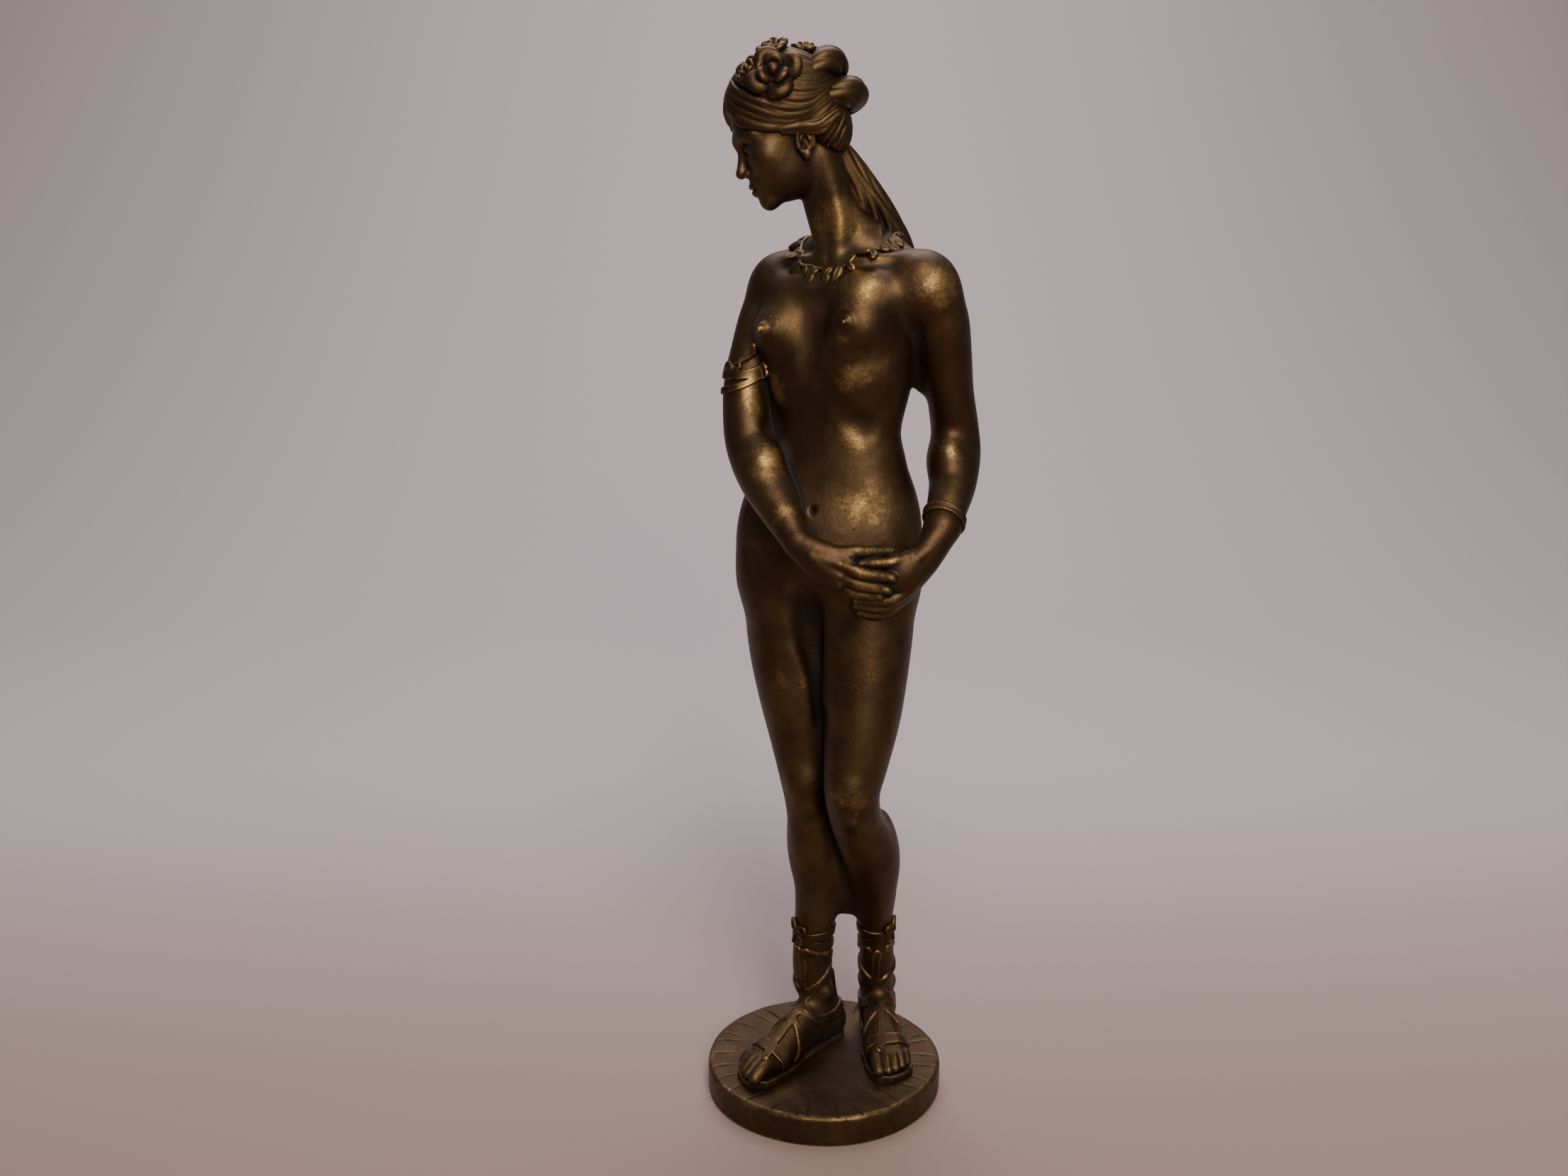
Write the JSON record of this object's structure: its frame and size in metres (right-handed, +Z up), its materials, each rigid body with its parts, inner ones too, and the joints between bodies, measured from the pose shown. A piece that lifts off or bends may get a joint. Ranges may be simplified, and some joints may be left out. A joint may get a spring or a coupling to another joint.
{
  "type": "statuette",
  "caption": "Standing classical figure with clasped hands and a turned, bowed head, in cast bronze on a round plinth.",
  "frame": {"origin": "centre of the plinth's flat underside", "axes": "+Z up through the figure, -Y towards the front, +X to the viewer's right"},
  "size_m": [0.055, 0.05, 0.2137],
  "materials": {
    "aged_bronze": "cast bronze with a dark brown patina, rubbed golden on the high places",
    "rubbed_bronze": "chased bronze ornament, brown patina rubbed golden",
    "brass_fixing": "plain turned brass"
  },
  "bodies": {
    "root": {"plinth": "aged_bronze", "torso": "aged_bronze", "head": "aged_bronze", "right_arm": "aged_bronze", "left_arm": "aged_bronze", "left_hand": "aged_bronze", "right_leg": "aged_bronze", "left_leg": "aged_bronze", "right_foot": "aged_bronze", "left_foot": "aged_bronze", "hair": "rubbed_bronze", "chignon": "rubbed_bronze", "shoulder_lock": "rubbed_bronze", "flower_side": "rubbed_bronze", "flower_crown": "rubbed_bronze", "flower_brow": "rubbed_bronze", "flower_top": "rubbed_bronze", "necklace": "rubbed_bronze", "armlet": "rubbed_bronze", "bracelet": "rubbed_bronze", "right_ankle_tie": "rubbed_bronze", "left_ankle_tie": "rubbed_bronze", "neck_dowel": "brass_fixing", "right_arm_dowel": "brass_fixing", "left_arm_dowel": "brass_fixing", "left_wrist_dowel": "brass_fixing", "right_hip_dowel": "brass_fixing", "left_hip_dowel": "brass_fixing", "right_ankle_dowel": "brass_fixing", "left_ankle_dowel": "brass_fixing", "right_foot_screw": "brass_fixing", "left_foot_screw": "brass_fixing", "right_foot_washer": "brass_fixing", "left_foot_washer": "brass_fixing"}
  },
  "joints": []
}
